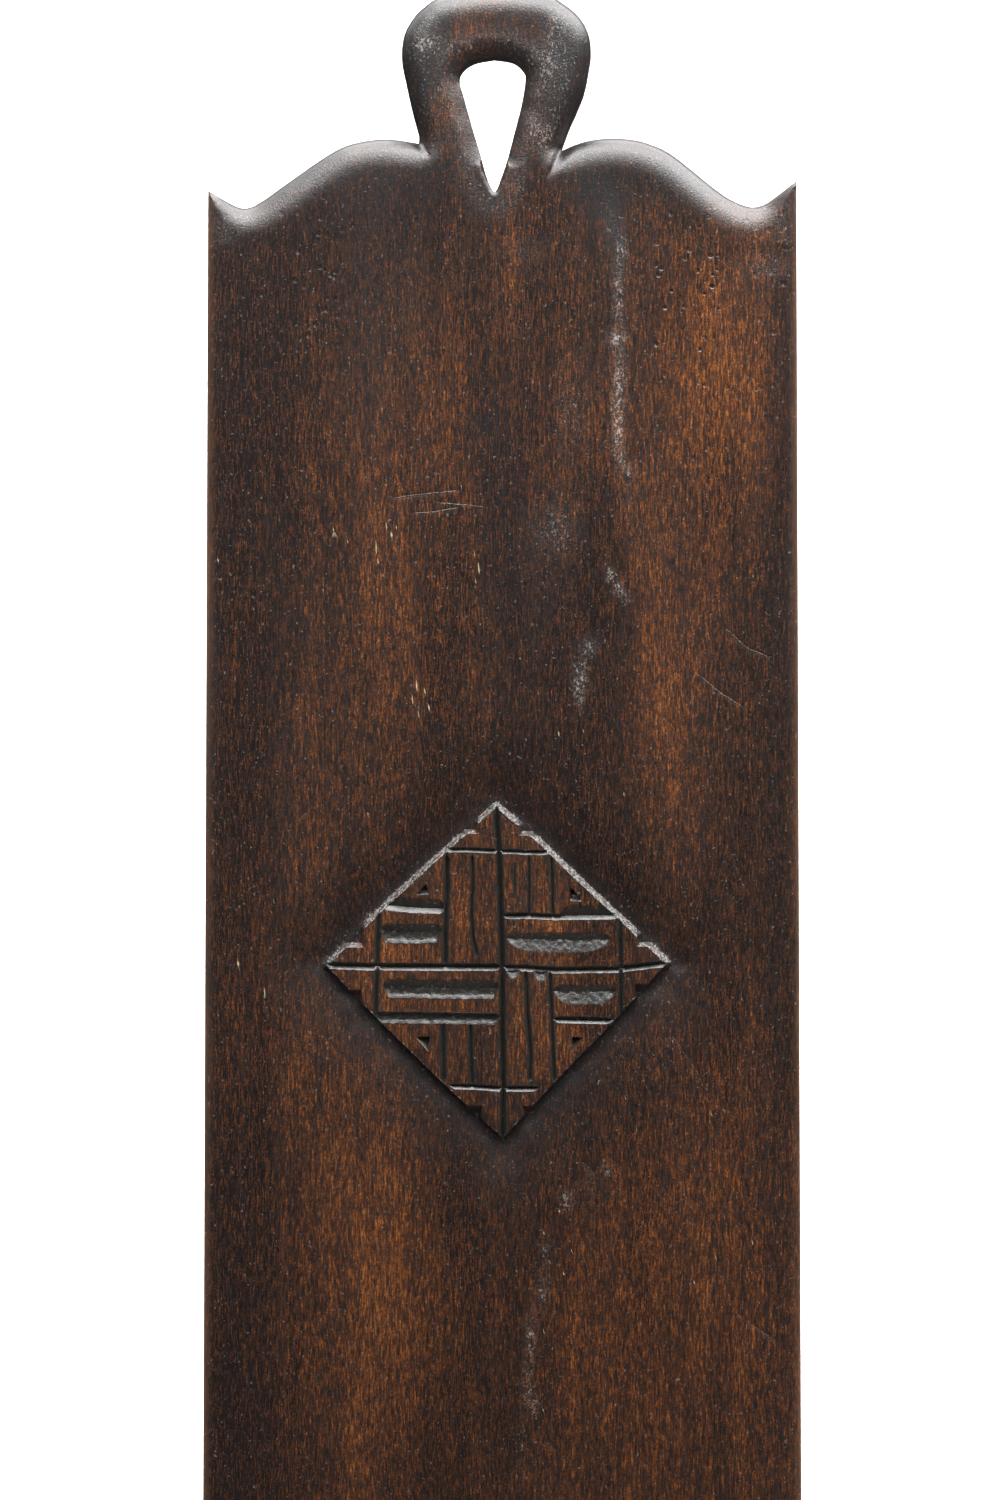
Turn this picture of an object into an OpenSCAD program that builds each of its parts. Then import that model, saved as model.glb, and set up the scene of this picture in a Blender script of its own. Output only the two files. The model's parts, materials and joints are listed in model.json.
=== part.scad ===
// Two-plank headrest: a tall board that the head and back lean on, held up
// by a seat plank whose tongue slides through a mortise low in the board.
// The board leans back, the front faces -Y, and the floor is the plane Z = 0.
// Both planks are drawn upright in the board's own frame (X across, Y from the
// front face to the back, Z along the board from its foot) and then leaned.

/* [Headrest board] */
// Length of the board, from its foot to the top of the loop handle
board_length = 935; // [880:1:1000]
// Width at the foot
foot_width = 296; // [280:1:310]
// Width at the two pointed shoulders
shoulder_width = 290; // [276:1:300]
// Thickness of the board
board_thick = 28; // [24:1:34]
// Angle that the board leans back from upright
lean = 22; // [19:0.5:25]

/* [Shoulders] */
// Height of the two valleys beside the pointed tips, above the foot
valley_height = 828; // [780:1:840]
// Height of the round shoulders above the valleys
crest_rise = 34; // [24:1:40]

/* [Loop handle] */
// Largest width of the loop
handle_width = 93; // [84:1:100]
// Distance that the loop stands left of the middle
handle_offset = 3; // [0:0.5:6]
// Width of the teardrop hole
hole_width = 33; // [26:1:36]
// Height of the teardrop hole
hole_height = 67; // [56:1:70]

/* [Carved lozenge] */
// Height of the lozenge's centre above the foot
lozenge_height = 453; // [430:1:480]
// Half of the lozenge's width
lozenge_half_w = 84.5; // [76:0.5:90]
// Half of the lozenge's height
lozenge_half_h = 83; // [76:0.5:90]
// Depth of the carved border around the lozenge
border_depth = 3.6; // [2:0.1:5]
// Width of the sloping ground around the lozenge
ground_width = 34; // [20:1:40]
// Width of one woven band
band = 26; // [24:0.5:28]
// Half of the square that the woven bands fill
weave_half = 58; // [56:0.5:62]
// Width of a fine cut
cut_width = 2.4; // [1.6:0.1:3.2]
// Depth of a fine cut
cut_depth = 1.5; // [1:0.1:2]
// Width of a gouged channel
channel_width = 6; // [4:0.5:8]
// Side of the small triangular pits between the bands
pit_leg = 7; // [4:0.5:9]

/* [Seat plank] */
// Height of the mortise's centre along the board, above the foot
seat_height = 156; // [150:1:166]
// Depth of the seat in front of the board
seat_depth = 336; // [300:1:360]
// Width of the seat
seat_width = 282; // [260:1:290]
// Thickness of the seat plank
seat_thick = 30; // [26:1:34]
// Width of the tongue where it passes through the board
tongue_width = 118; // [100:1:130]
// Width of the tongue at its tail
tail_width = 104; // [90:1:118]
// Length of the tail's flat on the floor
tail_flat = 48; // [30:1:60]
// Depth of the hollow in the seat
dish_depth = 7; // [4:0.5:9]
// Radius of the hollow's rim
dish_radius = 116; // [90:1:125]

/* [Fit] */
// Gap on each side of the tongue in the mortise
mortise_gap = 0.8; // [0.4:0.1:1.5]
// Gap between the seat's shoulders and the board's front face
shoulder_gap = 0.2; // [0.1:0.1:0.5]

/* [Hidden] */
// Straight pieces in one span of an outline's curve
curve_steps = 6;
// How far a cutting solid reaches past what it cuts
past = 20;
corner_radius = 26;
front_bow = 9;
// The stepped notches beside each corner of the lozenge
notch_in = 10;
notch_down = 17;
notch_leg = 6.5;
seat_top = seat_height + seat_thick / 2;
seat_low = seat_height - seat_thick / 2;
board_front = -board_thick / 2;
seat_front = board_front - seat_depth;
tail_end = seat_low / tan(lean) + tail_flat * cos(lean);
// The Y range of the leaned object, which the origin stands in the middle of
low_y = seat_front * cos(lean) + seat_low * sin(lean);
high_y = tail_end * cos(lean) + seat_top * sin(lean);
middle_y = (low_y + high_y) / 2;

// One point of a smooth curve through b and c, with a and d beyond them.
function curve_point(a, b, c, d, t) =
    0.5 * (2 * b + (c - a) * t + (2 * a - 5 * b + 4 * c - d) * t * t
        + (3 * b - a - 3 * c + d) * t * t * t);

// A smooth curve through points, without its last point.
function curve(points) = [
    for (i = [0 : len(points) - 2], j = [0 : curve_steps - 1])
        curve_point(points[max(i - 1, 0)], points[i], points[i + 1],
            points[min(i + 2, len(points) - 1)], j / curve_steps)
];

function arc(centre, radius, from, to) = [
    for (i = [0 : curve_steps])
        centre + radius * [cos(from + (to - from) * i / curve_steps),
            sin(from + (to - from) * i / curve_steps)]
];

// The points of a shoulder, from its tip to the handle's root. Each is a
// distance in from the board's edge and a share of the crest's rise.
function shoulder(side, points) = [
    for (p = points)
        [side * (shoulder_width / 2 - p[0]), valley_height + p[1] * crest_rise]
];

left_shoulder = shoulder(-1, [[0.2, 0.24], [9, 0.09], [17.5, 0], [26, 0.1],
    [39, 0.37], [60, 0.79], [72, 0.94], [87, 1], [101, 0.95], [103.7, 0.94]]);
right_shoulder = shoulder(1, [[0.2, 0.35], [10, 0.14], [16, 0.03], [23, 0],
    [32, 0.1], [41, 0.28], [61, 0.75], [72, 0.91], [81, 0.98], [92, 1],
    [102, 0.97], [109, 0.91], [116, 0.83]]);

// The loop is drawn about its own middle, in shares of its width across
// and of its height down from the top.
handle_height = board_length - valley_height - crest_rise;
function loop(points) = [
    for (p = points)
        [p[0] * handle_width - handle_offset, board_length - p[1] * handle_height]
];

handle_edge = loop([[-0.412, 0.975], [-0.445, 0.82], [-0.472, 0.665],
    [-0.5, 0.48], [-0.494, 0.33], [-0.46, 0.225], [-0.39, 0.12], [-0.27, 0.035],
    [0, 0], [0.25, 0.025], [0.365, 0.1], [0.447, 0.195], [0.492, 0.31],
    [0.5, 0.43], [0.49, 0.53], [0.465, 0.69], [0.425, 0.82], [0.385, 0.935],
    [0.345, 1.07]]);

hole_middle = -handle_offset - 2;
hole_top = board_length - 33;
function teardrop(points) = [
    for (p = points)
        [p[0] * hole_width + hole_middle, hole_top - p[1] * hole_height]
];

hole_edge = teardrop([[0.02, 0], [-0.28, 0.03], [-0.45, 0.09], [-0.5, 0.16],
    [-0.44, 0.27], [-0.31, 0.5], [-0.2, 0.68], [-0.09, 0.87], [0.04, 1],
    [0.14, 0.9], [0.24, 0.75], [0.33, 0.58], [0.42, 0.41], [0.485, 0.25],
    [0.5, 0.14], [0.44, 0.08], [0.3, 0.025], [0.02, 0]]);

board_outline = concat(
    [[foot_width / 2, -past], [-foot_width / 2, -past]],
    curve(left_shoulder),
    curve(handle_edge),
    curve([for (i = [len(right_shoulder) - 1 : -1 : 0]) right_shoulder[i]]),
    [right_shoulder[0]]
);

// Children stand as they do on the floor, with the board leaning back.
module leaned() {
    difference() {
        translate([0, -middle_y, 0]) rotate([-lean, 0, 0]) children();
        translate([-foot_width, -2 * board_length, -board_length])
            cube([2 * foot_width, 4 * board_length, board_length]);
    }
}

// An upright slab of a 2-D shape, drawn in X and Z.
module slab(thick) {
    rotate([90, 0, 0]) linear_extrude(height = thick, center = true) children();
}

// A V-shaped cut along a line on a face that looks along +Z.
module v_cut(from, to, width, depth) {
    run = to - from;
    translate([from[0], from[1], 0])
        rotate([0, 0, atan2(run[1], run[0])])
            rotate([90, 0, 90])
                linear_extrude(height = norm(run))
                    polygon([[-width / 2, 0.01], [width / 2, 0.01], [0, -depth]]);
}

// A small chip cut out of the panel: a right-angled triangle.
module chip(corner, leg_x, leg_y) {
    translate([corner[0], corner[1], -cut_depth])
        linear_extrude(height = cut_depth + 0.01)
            polygon([[0, 0], [leg_x, 0], [0, leg_y]]);
}

// The cuts that repeat in each quarter of the woven pinwheel.
module weave_quarter() {
    tip = lozenge_half_h - 1;
    middle = band * 0.55;
    v_cut([0, 0], [0, tip], cut_width * 1.4, cut_depth * 1.3);
    v_cut([-band, weave_half], [band, weave_half], cut_width, cut_depth);
    v_cut([-band, 0], [-band, weave_half], cut_width, cut_depth);
    v_cut([band, band], [band, weave_half], cut_width, cut_depth);
    v_cut([-middle, 3], [-middle, weave_half - 2], channel_width, cut_depth);
    v_cut([middle, band + 3], [middle, weave_half - 2], cut_width, cut_depth);
    chip([-band - pit_leg, band + pit_leg], -pit_leg, pit_leg);
    for (side = [-1, 1])
        chip([side * notch_in, lozenge_half_h - notch_down], side * notch_leg, notch_leg);
}

// Everything carved away on the front face to leave the raised woven panel.
module lozenge_cuts() {
    grow = (lozenge_half_w + ground_width) / lozenge_half_w;
    difference() {
        ground_frustum(grow);
        translate([0, 0, -2 * border_depth])
            linear_extrude(height = 4 * border_depth)
                polygon(lozenge_corners(1));
    }
    for (turn = [0 : 90 : 270])
        rotate([0, 0, turn]) weave_quarter();
}

function lozenge_corners(scale) = scale * [[lozenge_half_w, 0],
    [0, lozenge_half_h], [-lozenge_half_w, 0], [0, -lozenge_half_h]];

// The ground slopes from the board's face down to the foot of the panel.
module ground_frustum(grow) {
    wide = lozenge_corners(grow);
    tight = lozenge_corners(1.01);
    polyhedron(
        points = [
            for (p = wide) [p[0], p[1], 0.01],
            for (p = tight) [p[0], p[1], -border_depth]
        ],
        faces = [
            [3, 2, 1, 0], [4, 5, 6, 7],
            for (i = [0 : 3]) [i, (i + 1) % 4, (i + 1) % 4 + 4, i + 4]
        ]
    );
}

// The tall carved board, one piece of wood from the foot to the loop handle.
module headrest_board() {
    color("saddlebrown") leaned() difference() {
        slab(board_thick) polygon(board_outline);
        slab(board_thick + past) polygon(curve(hole_edge));
        translate([0, 0, seat_height])
            cube([tongue_width + 2 * mortise_gap, board_thick + past,
                seat_thick + 2 * mortise_gap], center = true);
        translate([0, board_front, lozenge_height])
            rotate([90, 0, 0]) lozenge_cuts();
    }
}

// The seat's outline from above: rounded front corners, square shoulders
// against the board, and a tongue that narrows towards its tail.
module seat_outline() {
    half = seat_width / 2;
    shoulder_y = board_front - shoulder_gap;
    // The front edge bows forward on one wide arc between the corners.
    chord = half - corner_radius;
    bow_radius = (chord * chord + front_bow * front_bow) / (2 * front_bow);
    bow_angle = asin(chord / bow_radius);
    corner_y = seat_front + front_bow + corner_radius;
    polygon(concat(
        arc([-chord, corner_y], corner_radius, 180, 270 - bow_angle),
        arc([0, seat_front + bow_radius], bow_radius, 270 - bow_angle, 270 + bow_angle),
        arc([chord, corner_y], corner_radius, 270 + bow_angle, 360),
        [[half, shoulder_y], [tongue_width / 2, shoulder_y],
            [tongue_width / 2, board_thick], [tail_width / 2, tail_end],
            [-tail_width / 2, tail_end], [-tongue_width / 2, board_thick],
            [-tongue_width / 2, shoulder_y], [-half, shoulder_y]]
    ));
}

// The seat plank, with its tongue through the board and its tail on the floor.
module seat_plank() {
    ball = (dish_radius * dish_radius + dish_depth * dish_depth) / (2 * dish_depth);
    color("sienna") leaned() difference() {
        translate([0, 0, seat_low])
            linear_extrude(height = seat_thick) seat_outline();
        translate([0, board_front - seat_depth / 2, seat_top - dish_depth + ball])
            sphere(r = ball, $fn = 200);
    }
}

headrest_board();
seat_plank();
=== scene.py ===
"""The looks of the two-plank headrest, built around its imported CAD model.

Each plank is drawn in the plank frame, in millimetres: X across, Y to the board's back from the middle of
its thickness, Z along it from its foot. to_world leans that frame back and puts it on the floor, in metres.
"""

import json
import math

import bmesh
import bpy
import numpy as np
from mathutils import Matrix, Vector, noise
from mathutils.geometry import delaunay_2d_cdt


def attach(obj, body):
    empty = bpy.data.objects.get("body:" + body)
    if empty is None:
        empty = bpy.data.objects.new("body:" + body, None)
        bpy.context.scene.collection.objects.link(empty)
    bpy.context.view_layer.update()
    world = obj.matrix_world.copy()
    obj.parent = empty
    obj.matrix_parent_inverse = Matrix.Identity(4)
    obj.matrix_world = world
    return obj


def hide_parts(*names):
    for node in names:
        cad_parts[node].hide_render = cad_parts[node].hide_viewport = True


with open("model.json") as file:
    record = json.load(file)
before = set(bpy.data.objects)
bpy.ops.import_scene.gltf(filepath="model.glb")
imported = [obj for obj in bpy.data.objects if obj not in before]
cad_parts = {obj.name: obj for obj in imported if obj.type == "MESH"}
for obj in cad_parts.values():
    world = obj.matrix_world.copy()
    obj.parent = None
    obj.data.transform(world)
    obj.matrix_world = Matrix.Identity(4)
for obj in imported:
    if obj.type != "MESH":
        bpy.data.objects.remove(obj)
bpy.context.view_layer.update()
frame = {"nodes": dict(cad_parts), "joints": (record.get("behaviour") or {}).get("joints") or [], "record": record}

MM = 0.001
slide = frame["joints"][0]
lean = math.atan2(slide["axis"][2], -slide["axis"][1])
mounts = {m["name"]: m for m in frame["record"]["mounts"]}
foot = Vector(mounts["board_foot"]["pos_m"])
to_world = Matrix.Translation(foot) @ Matrix.Rotation(-lean, 4, "X") @ Matrix.Scale(MM, 4)


def plank_box(node):
    """Lowest and highest corner of a CAD node in the plank frame, in millimetres."""
    back = to_world.inverted()
    corners = np.array([back @ v.co for v in frame["nodes"][node].data.vertices])
    return corners.min(0), corners.max(0)


_, board_high = plank_box("headrest_board")
seat_low, seat_high = plank_box("seat_plank")
board_length = board_high[2]
board_thick = 2 * board_high[1]
foot_half = board_high[0]
seat_half = seat_high[0]
seat_thick = seat_high[2] - seat_low[2]
seat_middle = (seat_high[2] + seat_low[2]) / 2

# The board's outline, as in the CAD model.
SHOULDER_HALF = 145
VALLEY_HEIGHT = 828
CREST_RISE = 34
HANDLE_WIDTH = 93
HANDLE_OFFSET = 3
HOLE_WIDTH = 33
HOLE_HEIGHT = 67
HOLE_MIDDLE = -HANDLE_OFFSET - 2
HOLE_TOP = board_length - 33
HANDLE_HEIGHT = board_length - VALLEY_HEIGHT - CREST_RISE
TONGUE_WIDTH = 118
TAIL_WIDTH = 104
MORTISE_GAP = 0.8
SHOULDER_GAP = 0.2

# The carved lozenge.
LOZENGE_MIDDLE = np.array([-0.6, 453])
BORDER_DEPTH = 3.6
UPPER_WALL = 2.4
LOWER_WALL = 1.4
TRENCH_FLOOR = 2.5
GROUND_WIDTH = 36

# ---------------- points and curves

CURVE_STEPS = 12


def curve(points):
    """A smooth curve through points, both ends included, in CURVE_STEPS steps from each to the next."""
    p = np.array(points, float)
    p = np.vstack([p[:1], p, p[-1:]])
    made = []
    for a, b, c, d in zip(p, p[1:], p[2:], p[3:]):
        for t in np.arange(CURVE_STEPS) / CURVE_STEPS:
            made.append(0.5 * (2 * b + (c - a) * t + (2 * a - 5 * b + 4 * c - d) * t ** 2
                               + (3 * b - a - 3 * c + d) * t ** 3))
    return np.array(made + [p[-1]])


def arc(centre, radius, start, end, steps=24):
    """Points on an arc, from the start angle to the end angle in degrees."""
    angles = np.radians(np.linspace(start, end, steps + 1))
    return np.array(centre) + radius * np.column_stack([np.cos(angles), np.sin(angles)])


def resample(points, step):
    """Evenly spaced points along a polyline, both ends included."""
    points = np.array(points, float)
    run = np.concatenate([[0], np.cumsum(np.linalg.norm(np.diff(points, axis=0), axis=1))])
    at = np.linspace(0, run[-1], max(2, round(run[-1] / step) + 1))
    return np.column_stack([np.interp(at, run, points[:, 0]), np.interp(at, run, points[:, 1])])


def nearest(points, starts, ends):
    """For each point: the distance to the nearest segment, its index, and the share of the way along it."""
    run = ends - starts
    squared = np.maximum((run ** 2).sum(1), 1e-12)
    found = []
    for block in np.array_split(points, len(points) * len(starts) // 3_000_000 + 1):
        offset = block[:, None] - starts
        t = np.clip((offset * run).sum(2) / squared, 0, 1)
        gap = ((offset - t[..., None] * run) ** 2).sum(2)
        index = gap.argmin(1)
        row = np.arange(len(block))
        found.append(np.column_stack([np.sqrt(gap[row, index]), index, t[row, index]]))
    found = np.vstack(found)
    return found[:, 0], found[:, 1].astype(int), found[:, 2]


def inside(points, polygon):
    """True where a point lies in the polygon."""
    x, y = points[:, 0], points[:, 1]
    result = np.zeros(len(points), bool)
    for (x0, y0), (x1, y1) in zip(polygon, np.roll(polygon, -1, 0)):
        if y0 != y1:
            result ^= ((y0 > y) != (y1 > y)) & (x < (x1 - x0) * (y - y0) / (y1 - y0) + x0)
    return result


def smooth(x, low=0.0, high=1.0):
    """0 below low, 1 above high, and a soft step between them."""
    t = np.clip((x - low) / (high - low), 0, 1)
    return t * t * (3 - 2 * t)


def wave(points, size, seed, stretch=1.0):
    """Smooth noise from -1 to 1 over 2-D points, with features of about that size in millimetres."""
    return np.array([noise.noise((x / size, y / size / stretch, seed * 7.31)) for x, y in points])


def hex_grid(low, high, step, rng):
    """Points of a slightly shaken hexagonal grid."""
    rise = step * math.sqrt(3) / 2
    rows = np.arange(low[1], high[1], rise)
    columns = np.arange(low[0], high[0], step)
    x, y = np.meshgrid(columns, rows)
    x = x + (np.arange(len(rows)) % 2)[:, None] * step / 2
    points = np.column_stack([x.ravel(), y.ravel()])
    return points + rng.uniform(-0.12, 0.12, points.shape) * step


# ---------------- planks

# A contour's normals fan out, FAN_STEP degrees apart, where it turns by more than that at a point. Where it
# turns by more than SHARP degrees, the mesh around the corner is finer.
FAN_STEP = 12
SHARP = 25
CORNER_REACH = 15
CORNER_STEP = 1.3
WALL_STEP = 4
# Shares of the rounding's width at which the mesh has a ring of points.
RINGS = [0.012, 0.05, 0.12, 0.22, 0.34, 0.48, 0.64, 0.82, 1.0]


class Edge:
    """A closed contour of a plank, made of stretches: each a line, its step, and the (width, depth) of its
    rounding on the front and on the back. inward is 1 where the wood is left of the line, else -1."""

    def __init__(self, stretches, inward):
        points, sizes = [], []
        for line, step, front, back in stretches:
            line = resample(line, step)[:-1]
            points.append(line)
            sizes.append(np.tile([*front, *back], (len(line), 1)))
        self.points = np.vstack(points)
        self.sizes = np.vstack(sizes)
        self.soften(9)
        before = self.points - np.roll(self.points, 1, 0)
        after = np.roll(self.points, -1, 0) - self.points
        before /= np.linalg.norm(before, axis=1)[:, None]
        after /= np.linalg.norm(after, axis=1)[:, None]
        along = before + after
        along /= np.linalg.norm(along, axis=1)[:, None]
        self.normals = inward * np.column_stack([-along[:, 1], along[:, 0]])
        bend = (before * after).sum(1)
        self.corners = self.points[bend < math.cos(math.radians(SHARP))]
        self.spread(before, after, inward)

    def spread(self, before, after, inward):
        """Adds normals that fan out where the contour turns sharply, which keeps the rounding round."""
        self.roots = list(range(len(self.points)))
        fans = list(self.normals)
        bend = (before * after).sum(1)
        for i in np.flatnonzero(bend < math.cos(math.radians(FAN_STEP))):
            turned = math.degrees(math.acos(np.clip(bend[i], -1, 1)))
            for share in np.linspace(0, 1, 2 + round(turned / FAN_STEP)):
                way = before[i] * (1 - share) + after[i] * share
                way /= np.linalg.norm(way)
                fans.append(inward * np.array([-way[1], way[0]]))
                self.roots.append(i)
        self.fans = np.array(fans)

    def ring(self, share, side):
        """Points at that share of the rounding's width in from the contour, and how far in they are."""
        reach = share * self.sizes[self.roots, 2 * side]
        return self.points[self.roots] + self.fans * reach[:, None], reach

    def soften(self, reach):
        """Lets the rounding change gradually from one stretch to the next, over about reach millimetres."""
        gaps = np.linalg.norm(np.roll(self.points, -1, 0) - self.points, axis=1)
        place = np.concatenate([[0], np.cumsum(gaps)])
        total, place = place[-1], place[:-1]
        apart = np.abs(place[:, None] - place)
        apart = np.minimum(apart, total - apart)
        weight = np.exp(-((apart / reach) ** 2)) * gaps
        self.sizes = weight @ self.sizes / weight.sum(1)[:, None]


class Plank:
    """A carved plank: its contours, and the depth of its front and back surfaces below the flat faces."""

    def __init__(self, edges, thick):
        self.edges = edges
        self.thick = thick
        self.starts = np.vstack([e.points for e in edges])
        self.ends = np.vstack([np.roll(e.points, -1, 0) for e in edges])
        self.sizes = np.vstack([e.sizes for e in edges])
        self.next_sizes = np.vstack([np.roll(e.sizes, -1, 0) for e in edges])
        self.corners = np.vstack([e.corners for e in edges])

    def rim(self, points, side):
        """Distance from the contours, and the width and depth of the rounding there."""
        distance, index, along = nearest(points, self.starts, self.ends)
        size = self.sizes[index] * (1 - along)[:, None] + self.next_sizes[index] * along[:, None]
        return distance, size[:, 2 * side], size[:, 2 * side + 1]

    def rounding(self, points, side):
        distance, width, depth = self.rim(points, side)
        x = np.clip(distance / width, 0, 1)
        return depth * (1 - np.sqrt(np.maximum(1 - (1 - x) ** 2, 0))), distance

    def face(self, side, spots, lines, depth):
        """Triangulates one face. Returns its 2-D points, their depths, their distances from the edge, its
        triangles, and the index of each contour point."""
        rings = []
        for e in self.edges:
            for share in RINGS:
                ring, reach = e.ring(share, side)
                rings.append(ring[self.rim(ring, side)[0] > 0.86 * reach])
        spots = spots[nearest(spots, self.corners, self.corners)[0] > CORNER_REACH]
        rng = np.random.default_rng(3)
        for corner in self.corners:
            fine = hex_grid(corner - CORNER_REACH, corner + CORNER_REACH, CORNER_STEP, rng)
            others = self.corners[(self.corners != corner).any(1)]
            own = nearest(fine, others, others)[0] > np.linalg.norm(fine - corner, axis=1)
            spots = np.vstack([spots, fine[own & (np.linalg.norm(fine - corner, axis=1) <= CORNER_REACH)]])
        spots = spots[self.keep(spots)]
        distance, width, _ = self.rim(spots, side)
        by_corner = nearest(spots, self.corners, self.corners)[0] < CORNER_REACH
        spots = spots[distance > np.where(by_corner, 0.9, width * 1.08 + 0.4)]
        fixed = [e.points for e in self.edges] + lines
        coords = np.vstack(fixed + rings + [spots])
        links, at = [], 0
        for i, line in enumerate(fixed):
            count = len(line)
            last = count if i < len(self.edges) else count - 1
            links += [(at + j, at + (j + 1) % count) for j in range(last)]
            at += count
        flat, _, faces, origin, _, _ = delaunay_2d_cdt([Vector(c) for c in coords], links, [], 0, 1e-4)
        flat = np.array([tuple(v) for v in flat])
        faces = np.array(faces)
        faces = faces[self.keep(flat[faces].mean(1))]
        place = {old: new for new, olds in enumerate(origin) for old in olds}
        rim_index = [place[i] for i in range(len(self.starts))]
        drop, distance = self.rounding(flat, side)
        return flat, drop + depth(flat), distance, faces, rim_index

    def keep(self, points):
        """True where a point is on the plank: inside the outline and outside its holes."""
        kept = inside(points, self.edges[0].points)
        for e in self.edges[1:]:
            kept &= ~inside(points, e.points)
        return kept

    def build(self, name, front, back, place):
        """Makes the closed mesh. front and back are (spots, lines, depth function); place turns 2-D points
        and depths below the front face into plank coordinates. Returns the piece, its points in the plank
        frame, their distances from the edge, and 0 for the front, 1 for the back or 0.5 for the walls."""
        f_flat, f_depth, f_edge, f_faces, f_rim = self.face(0, *front)
        b_flat, b_depth, b_edge, b_faces, b_rim = self.face(1, *back)
        b_depth = self.thick - b_depth
        flat, depth = [f_flat, b_flat], [f_depth, b_depth]
        faces = f_faces.tolist() + (b_faces + len(f_flat)).tolist()
        at, begin = len(f_flat) + len(b_flat), 0
        steps = max(2, round(self.thick / WALL_STEP))
        for e in self.edges:
            count = len(e.points)
            top = np.array(f_rim[begin:begin + count])
            bottom = np.array(b_rim[begin:begin + count]) + len(f_flat)
            begin += count
            rows = [top]
            for k in range(1, steps):
                share = k / steps
                flat.append(e.points)
                depth.append(f_depth[top] * (1 - share) + b_depth[bottom - len(f_flat)] * share)
                rows.append(np.arange(at, at + count))
                at += count
            rows.append(bottom)
            for upper, lower in zip(rows, rows[1:]):
                faces += np.column_stack([upper, lower, np.roll(lower, -1), np.roll(upper, -1)]).tolist()
        flat, depth = np.vstack(flat), np.concatenate(depth)
        wall = np.zeros(at - len(f_flat) - len(b_flat))
        edge = np.concatenate([f_edge, b_edge, wall])
        side = np.concatenate([np.zeros(len(f_flat)), np.ones(len(b_flat)), wall + 0.5])
        co = place(flat, depth)
        mesh = bpy.data.meshes.new(name)
        world = np.array(to_world)
        mesh.from_pydata(co @ world[:3, :3].T + world[:3, 3], [], faces)
        bm = bmesh.new()
        bm.from_mesh(mesh)
        bmesh.ops.recalc_face_normals(bm, faces=bm.faces)
        bm.to_mesh(mesh)
        bm.free()
        mesh.shade_smooth()
        mesh.set_sharp_from_angle(angle=math.radians(38))
        piece = bpy.data.objects.new(name, mesh)
        bpy.context.scene.collection.objects.link(piece)
        return piece, co, edge, side


def paint(piece, **layers):
    """Stores numbers from 0 to 1 at each vertex, for the material to read by the layer's name."""
    for name, values in layers.items():
        layer = piece.data.attributes.new(name, "FLOAT", "POINT")
        layer.data.foreach_set("value", np.clip(values, 0, 1).astype(np.float32))


def patches(points, spots):
    """Soft patches, each (x, z, half width, half height, strength), added up over points."""
    total = np.zeros(len(points))
    for x, z, wide, high, strength in spots:
        total += strength * np.exp(-(((points[:, 0] - x) / wide) ** 2 + ((points[:, 1] - z) / high) ** 2))
    return total


def strikes(points, pitch, along, depth, seed, box):
    """The shallow hollows of an adze, pitch apart across the grain and along times that down it."""
    rng = np.random.default_rng(seed)
    cell = np.array([pitch, pitch * along])
    centres = hex_grid(box[0] / cell - 2, box[1] / cell + 2, 1, rng)
    centres += rng.uniform(-0.22, 0.22, centres.shape)
    distance = nearest(points / cell, centres, centres)[0]
    return depth * (1 - np.clip(distance / 0.6, 0, 1) ** 2)


# ---------------- the board


def shoulder(side, points):
    """A shoulder from its tip to the handle's root: distances in from the edge, and shares of the rise."""
    return curve([(side * (SHOULDER_HALF - x), VALLEY_HEIGHT + share * CREST_RISE) for x, share in points])


left_shoulder = shoulder(-1, [
    (0.2, 0.24), (9, 0.09), (17.5, 0), (26, 0.1), (39, 0.37), (60, 0.79), (72, 0.94), (87, 1), (101, 0.95),
    (103.7, 0.94)])
right_shoulder = shoulder(1, [
    (0.2, 0.35), (10, 0.14), (16, 0.03), (23, 0), (32, 0.1), (41, 0.28), (61, 0.75), (72, 0.91), (81, 0.98),
    (92, 1), (102, 0.97), (109, 0.91), (116, 0.83)])[::-1]
handle = curve([(x * HANDLE_WIDTH - HANDLE_OFFSET, board_length - y * HANDLE_HEIGHT) for x, y in [
    (-0.412, 0.975), (-0.445, 0.82), (-0.472, 0.665), (-0.5, 0.48), (-0.494, 0.33), (-0.46, 0.225),
    (-0.39, 0.12), (-0.27, 0.035), (0, 0), (0.25, 0.025), (0.365, 0.1), (0.447, 0.195), (0.492, 0.31),
    (0.5, 0.43), (0.49, 0.53), (0.465, 0.69), (0.425, 0.82), (0.385, 0.935), (0.345, 1.07)]])
hole = curve([(x * HOLE_WIDTH + HOLE_MIDDLE, HOLE_TOP - y * HOLE_HEIGHT) for x, y in [
    (0.02, 0), (-0.28, 0.03), (-0.45, 0.09), (-0.5, 0.16), (-0.44, 0.27), (-0.31, 0.5), (-0.2, 0.68),
    (-0.09, 0.87), (0.04, 1), (0.14, 0.9), (0.24, 0.75), (0.33, 0.58), (0.42, 0.41), (0.485, 0.25),
    (0.5, 0.14), (0.44, 0.08), (0.3, 0.025), (0.02, 0)]])

# How many steps of a shoulder's curve its sharp tip takes, and between which points of the hole's curve
# the hole's lower tip lies.
TIP = 14
HOLE_TIP = (80, 112)

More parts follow.
